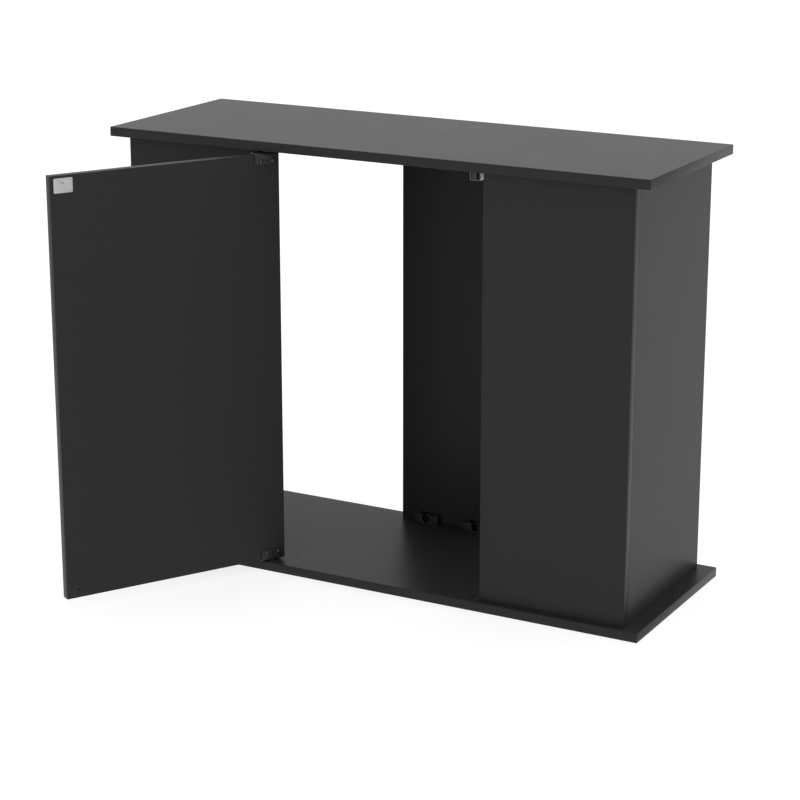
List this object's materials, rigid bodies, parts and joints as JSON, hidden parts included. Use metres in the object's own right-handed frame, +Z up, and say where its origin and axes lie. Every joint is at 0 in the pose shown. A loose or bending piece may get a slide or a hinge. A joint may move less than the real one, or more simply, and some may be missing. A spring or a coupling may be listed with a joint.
{
  "type": "aquarium stand cabinet",
  "caption": "Open-backed stand for a long tank: two boards on L-shaped columns and a central back panel, with a pivot-hung door held by a magnetic catch.",
  "frame": {"origin": "centre of the base panel's underside, at floor level", "axes": "+X to the right as seen from the front, +Y to the back, +Z up; the door stands open towards -Y"},
  "size_m": [1, 0.6761, 0.756],
  "materials": {
    "board": "satin black melamine on 16 mm chipboard, with a very fine pearl grain",
    "block_plastic": "moulded black plastic",
    "bush_plastic": "moulded black plastic",
    "screw_steel": "zinc-plated",
    "zinc_steel": "zinc-plated sheet",
    "pin_steel": "turned and zinc-plated",
    "magnet_ferrite": "sintered ferrite",
    "hinge_black": "satin black",
    "dowel_beech": "fluted, unfinished"
  },
  "bodies": {
    "cabinet": {"base_panel": "board", "top_panel": "board", "left_side_panel": "board", "right_side_panel": "board", "left_front_panel": "board", "right_front_panel": "board", "back_panel": "board", "back_left_base_block": "block_plastic", "back_left_top_block": "block_plastic", "back_right_base_block": "block_plastic", "back_right_top_block": "block_plastic", "left_side_front_base_block": "block_plastic", "left_side_front_top_block": "block_plastic", "left_side_rear_base_block": "block_plastic", "left_side_rear_top_block": "block_plastic", "right_side_front_base_block": "block_plastic", "right_side_front_top_block": "block_plastic", "right_side_rear_base_block": "block_plastic", "right_side_rear_top_block": "block_plastic", "left_front_base_block": "block_plastic", "left_front_top_block": "block_plastic", "right_front_base_block": "block_plastic", "right_front_top_block": "block_plastic", "back_left_base_block_left_screw": "hinge_black", "back_left_base_block_right_screw": "hinge_black", "back_left_base_block_wall_screw": "hinge_black", "back_left_top_block_left_screw": "hinge_black", "back_left_top_block_right_screw": "hinge_black", "back_left_top_block_wall_screw": "hinge_black", "back_right_base_block_left_screw": "hinge_black", "back_right_base_block_right_screw": "hinge_black", "back_right_base_block_wall_screw": "hinge_black", "back_right_top_block_left_screw": "hinge_black", "back_right_top_block_right_screw": "hinge_black", "back_right_top_block_wall_screw": "hinge_black", "left_column_lower_dowel": "dowel_beech", "left_column_middle_dowel": "dowel_beech", "left_column_upper_dowel": "dowel_beech", "right_column_lower_dowel": "dowel_beech", "right_column_middle_dowel": "dowel_beech", "right_column_upper_dowel": "dowel_beech", "catch_housing": "zinc_steel", "catch_left_pole": "zinc_steel", "catch_right_pole": "zinc_steel", "catch_magnet": "magnet_ferrite", "catch_left_screw": "screw_steel", "catch_right_screw": "screw_steel", "upper_pivot_bush": "bush_plastic", "lower_pivot_bush": "bush_plastic"},
    "door": {"door_panel": "board", "upper_hinge_bracket": "hinge_black", "lower_hinge_bracket": "hinge_black", "upper_hinge_pin": "pin_steel", "lower_hinge_pin": "pin_steel", "upper_hinge_screw_1": "hinge_black", "upper_hinge_screw_2": "hinge_black", "lower_hinge_screw_1": "hinge_black", "lower_hinge_screw_2": "hinge_black", "strike_plate": "zinc_steel", "strike_plate_screw": "screw_steel"}
  },
  "joints": [
    {"name": "door_swing", "type": "hinge", "parent": "cabinet", "child": "door", "pos_m": [-0.193, -0.152, 0.378], "axis": [0, 0, 1], "range_deg": [-5, 120]}
  ]
}
